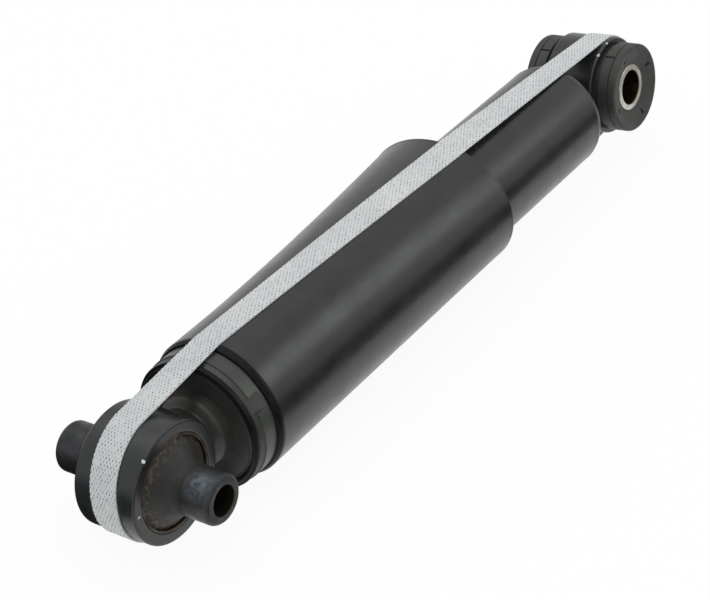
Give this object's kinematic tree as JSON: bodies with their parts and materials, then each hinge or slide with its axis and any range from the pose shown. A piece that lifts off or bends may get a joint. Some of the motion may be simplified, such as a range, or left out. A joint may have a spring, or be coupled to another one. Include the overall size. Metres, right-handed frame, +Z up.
{
  "type": "car shock absorber",
  "caption": "Telescopic twin-tube shock absorber with a rubber-bushed eye at each end, a dust tube over the rod, and a strap that holds it short for transport.",
  "frame": {"origin": "middle of the upper eye's bore", "axes": "+X along the shock from the upper eye to the lower eye, Y along the upper eye's bore, +Z up as the shock lies on a floor"},
  "size_m": [0.3883, 0.077, 0.0624],
  "materials": {
    "black_paint": "satin black paint, chipped at the edges",
    "upper_rubber": "matte moulded rubber with a brown bloom",
    "lower_rubber": "matte moulded rubber",
    "stop_rubber": "foamed polyurethane",
    "seal_rubber": "oil-resistant rubber",
    "sleeve_steel": "phosphated steel tube, bright where rubbed",
    "zinc_steel": "bright zinc-plated steel tube",
    "plain_steel": "drawn steel",
    "hard_chrome": "ground hard chrome",
    "spring_steel": "stamped spring steel",
    "sintered_iron": "sintered iron",
    "bush_bronze": "bronze-backed bearing strip",
    "band_plastic": "filled bearing plastic",
    "strap_webbing": "light grey woven polyester strapping"
  },
  "bodies": {
    "reservoir": {"reservoir_tube": "black_paint", "base_cap": "black_paint", "lower_eye_weld": "black_paint", "lower_eye_ring": "black_paint", "lower_bush_rubber": "lower_rubber", "pressure_tube": "plain_steel", "rod_guide": "sintered_iron", "guide_bush": "bush_bronze", "rod_seal": "seal_rubber", "seal_retainer": "plain_steel", "base_valve_body": "sintered_iron", "base_check_spring": "spring_steel", "base_stop_washer": "plain_steel", "base_rivet": "plain_steel", "base_valve_discs": "spring_steel", "transport_strap": "strap_webbing"},
    "piston_bearing": {"piston_band": "band_plastic"},
    "rod_assembly": {"upper_eye_ring": "black_paint", "upper_bush_shell": "plain_steel", "upper_bush_rubber": "upper_rubber", "upper_eye_boss": "black_paint", "upper_eye_weld": "black_paint", "dust_cap": "black_paint", "dust_tube": "black_paint", "bump_stop": "stop_rubber", "piston_rod": "hard_chrome", "rebound_stop": "seal_rubber", "piston_stop_washer": "plain_steel", "piston_body": "sintered_iron", "piston_check_spring": "spring_steel", "rebound_valve_discs": "spring_steel", "piston_nut": "plain_steel"},
    "upper_sleeve": {"upper_inner_sleeve": "sleeve_steel"},
    "lower_sleeve": {"lower_inner_sleeve": "zinc_steel"},
    "piston_check": {"piston_check_plate": "spring_steel"},
    "base_check": {"base_check_plate": "spring_steel"}
  },
  "joints": [
    {"name": "rod_slide", "type": "slide", "parent": "reservoir", "child": "piston_bearing", "axis": [-1, 0, 0], "range_m": [0, 0.13], "deforming": ["transport_strap"]},
    {"name": "rod_turn", "type": "hinge", "parent": "piston_bearing", "child": "rod_assembly", "pos_m": [0, 0, 0], "axis": [1, 0, 0], "continuous": true, "deforming": ["transport_strap"]},
    {"name": "upper_bush_twist", "type": "hinge", "parent": "rod_assembly", "child": "upper_sleeve", "pos_m": [0, 0, 0], "axis": [0, 1, 0], "range_deg": [-15, 15], "stiffness_Nm_per_rad": 30},
    {"name": "lower_bush_twist", "type": "hinge", "parent": "reservoir", "child": "lower_sleeve", "pos_m": [0.338, 0, 0], "axis": [0, 0.9945, -0.1045], "range_deg": [-15, 15], "stiffness_Nm_per_rad": 30},
    {"name": "piston_check_lift", "type": "slide", "parent": "rod_assembly", "child": "piston_check", "axis": [-1, 0, 0], "range_m": [0, 0.001], "stiffness_N_per_m": 200, "springref_m": -0.001, "deforming": ["piston_check_spring"]},
    {"name": "base_check_lift", "type": "slide", "parent": "reservoir", "child": "base_check", "axis": [-1, 0, 0], "range_m": [0, 0.001], "stiffness_N_per_m": 200, "springref_m": -0.001, "deforming": ["base_check_spring"]}
  ]
}
